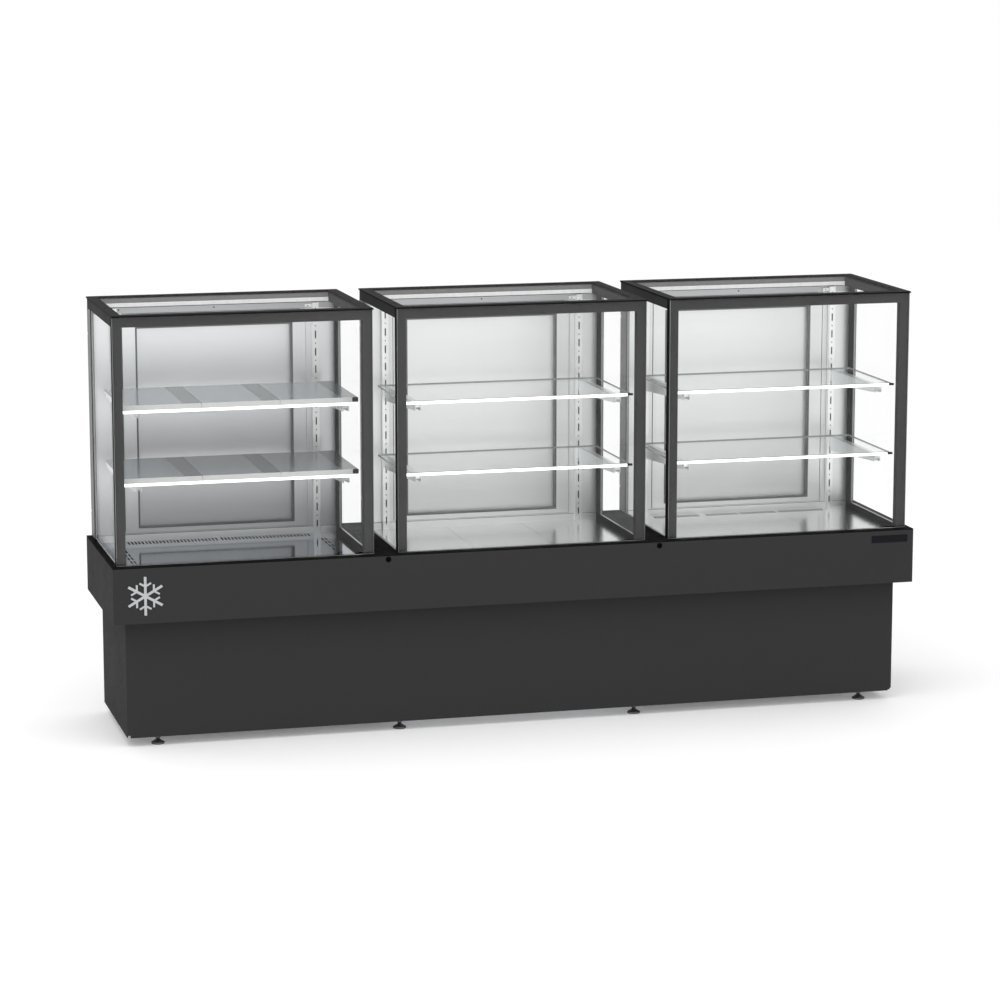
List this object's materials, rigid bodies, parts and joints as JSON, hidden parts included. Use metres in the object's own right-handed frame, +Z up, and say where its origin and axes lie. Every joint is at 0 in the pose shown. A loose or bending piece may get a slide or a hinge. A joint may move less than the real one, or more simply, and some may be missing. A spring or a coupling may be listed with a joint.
{
  "type": "refrigerated deli case",
  "caption": "Counter-height glass display case: framed glass compartments with lit shelves and rear doors on one charcoal tub and skirted base.",
  "frame": {"origin": "centre of the bounding box in X and Y, on the floor under the feet", "axes": "+X along the counter to the viewer's right, +Y towards the serving side (rear doors), +Z up"},
  "size_m": [2.5, 0.55, 1.292],
  "materials": {
    "charcoal_coat": "satin powder coat",
    "black_coat": "satin black enamel",
    "frame_coat": "semi-gloss powder coat",
    "pane_glass": "clear tempered",
    "shelf_glass": "clear tempered with a white light bar",
    "brushed_panel": "brushed",
    "tray_steel": "polished brushed sheet",
    "bracket_steel": "satin",
    "heated_shelf_white": "white with a grey glass top",
    "zinc_steel": "zinc plated",
    "coil_fins": "mill finish fins",
    "fan_plastic": "moulded",
    "control_plastic": "moulded",
    "compressor_coat": "gloss black",
    "heater_sheath": "oxidised sheath",
    "badge_steel": "brushed",
    "plate_black": "gloss black"
  },
  "bodies": {
    "case": {"base_skirt": "charcoal_coat", "rear_service_panel": "charcoal_coat", "tub_shell": "charcoal_coat", "chassis_frame": "zinc_steel", "deck_plate": "black_coat", "front_badge": "badge_steel", "blank_name_plate": "plate_black", "control_panel": "tray_steel", "power_cable_gland": "control_plastic", "compressor": "compressor_coat", "condenser_coil": "coil_fins", "evaporator_coil": "coil_fins", "heater_element": "heater_sheath", "heated_frame": "frame_coat", "heated_front_glass": "pane_glass", "heated_left_glass": "pane_glass", "heated_right_glass": "pane_glass", "heated_top_glass": "pane_glass", "heated_rear_jamb": "brushed_panel", "heated_floor_tray": "tray_steel", "heated_shelf_upper": "heated_shelf_white", "heated_shelf_lower": "heated_shelf_white", "neutral_frame": "frame_coat", "neutral_front_glass": "pane_glass", "neutral_left_glass": "pane_glass", "neutral_right_glass": "pane_glass", "neutral_top_glass": "pane_glass", "neutral_rear_jamb": "brushed_panel", "neutral_floor_tray": "tray_steel", "neutral_shelf_upper": "shelf_glass", "neutral_brackets_upper": "bracket_steel", "neutral_shelf_lower": "shelf_glass", "neutral_brackets_lower": "bracket_steel", "chilled_frame": "frame_coat", "chilled_front_glass": "pane_glass", "chilled_left_glass": "pane_glass", "chilled_right_glass": "pane_glass", "chilled_top_glass": "pane_glass", "chilled_rear_jamb": "brushed_panel", "chilled_floor_tray": "tray_steel", "chilled_shelf_upper": "shelf_glass", "chilled_brackets_upper": "bracket_steel", "chilled_shelf_lower": "shelf_glass", "chilled_brackets_lower": "bracket_steel"},
    "heated_door": {"heated_rear_door": "brushed_panel"},
    "neutral_door": {"neutral_rear_door": "brushed_panel"},
    "chilled_door": {"chilled_rear_door": "brushed_panel"},
    "foot_front_1": {"levelling_foot_front_1": "zinc_steel"},
    "foot_front_2": {"levelling_foot_front_2": "zinc_steel"},
    "foot_front_3": {"levelling_foot_front_3": "zinc_steel"},
    "foot_front_4": {"levelling_foot_front_4": "zinc_steel"},
    "foot_rear_1": {"levelling_foot_rear_1": "zinc_steel"},
    "foot_rear_2": {"levelling_foot_rear_2": "zinc_steel"},
    "foot_rear_3": {"levelling_foot_rear_3": "zinc_steel"},
    "foot_rear_4": {"levelling_foot_rear_4": "zinc_steel"},
    "condenser_rotor": {"condenser_fan": "fan_plastic"},
    "evaporator_rotor": {"evaporator_fan": "fan_plastic"},
    "power_rocker_button": {"power_rocker": "control_plastic"},
    "light_rocker_button": {"light_rocker": "control_plastic"},
    "thermostat_dial": {"thermostat_knob": "control_plastic"}
  },
  "joints": [
    {"name": "heated_door_hinge", "type": "hinge", "parent": "case", "child": "heated_door", "pos_m": [-0.567, 0.269, 0.9], "axis": [0, 0, -1], "range_deg": [0, 100]},
    {"name": "neutral_door_hinge", "type": "hinge", "parent": "case", "child": "neutral_door", "pos_m": [0.28, 0.269, 0.9], "axis": [0, 0, -1], "range_deg": [0, 100]},
    {"name": "chilled_door_hinge", "type": "hinge", "parent": "case", "child": "chilled_door", "pos_m": [1.127, 0.269, 0.9], "axis": [0, 0, -1], "range_deg": [0, 100]},
    {"name": "foot_front_1_turn", "type": "hinge", "parent": "case", "child": "foot_front_1", "pos_m": [-1.112, -0.184, 0.03], "axis": [0, 0, 1], "continuous": true},
    {"name": "foot_front_2_turn", "type": "hinge", "parent": "case", "child": "foot_front_2", "pos_m": [-0.372, -0.184, 0.03], "axis": [0, 0, 1], "continuous": true},
    {"name": "foot_front_3_turn", "type": "hinge", "parent": "case", "child": "foot_front_3", "pos_m": [0.372, -0.184, 0.03], "axis": [0, 0, 1], "continuous": true},
    {"name": "foot_front_4_turn", "type": "hinge", "parent": "case", "child": "foot_front_4", "pos_m": [1.112, -0.184, 0.03], "axis": [0, 0, 1], "continuous": true},
    {"name": "foot_rear_1_turn", "type": "hinge", "parent": "case", "child": "foot_rear_1", "pos_m": [-1.112, 0.224, 0.03], "axis": [0, 0, 1], "continuous": true},
    {"name": "foot_rear_2_turn", "type": "hinge", "parent": "case", "child": "foot_rear_2", "pos_m": [-0.372, 0.224, 0.03], "axis": [0, 0, 1], "continuous": true},
    {"name": "foot_rear_3_turn", "type": "hinge", "parent": "case", "child": "foot_rear_3", "pos_m": [0.372, 0.224, 0.03], "axis": [0, 0, 1], "continuous": true},
    {"name": "foot_rear_4_turn", "type": "hinge", "parent": "case", "child": "foot_rear_4", "pos_m": [1.112, 0.224, 0.03], "axis": [0, 0, 1], "continuous": true},
    {"name": "condenser_fan_spin", "type": "hinge", "parent": "case", "child": "condenser_rotor", "pos_m": [0.18, 0.109, 0.1983], "axis": [0, 1, 0], "continuous": true},
    {"name": "evaporator_fan_spin", "type": "hinge", "parent": "case", "child": "evaporator_rotor", "pos_m": [0.847, 0.039, 0.453], "axis": [0, 1, 0], "continuous": true},
    {"name": "power_rocker_tilt", "type": "hinge", "parent": "case", "child": "power_rocker_button", "pos_m": [0.89, 0.2697, 0.465], "axis": [1, 0, 0], "range_deg": [0, 16]},
    {"name": "light_rocker_tilt", "type": "hinge", "parent": "case", "child": "light_rocker_button", "pos_m": [0.94, 0.2697, 0.465], "axis": [1, 0, 0], "range_deg": [0, 16]},
    {"name": "thermostat_turn", "type": "hinge", "parent": "case", "child": "thermostat_dial", "pos_m": [1.05, 0.2697, 0.465], "axis": [0, 1, 0], "range_deg": [0, 270]}
  ]
}
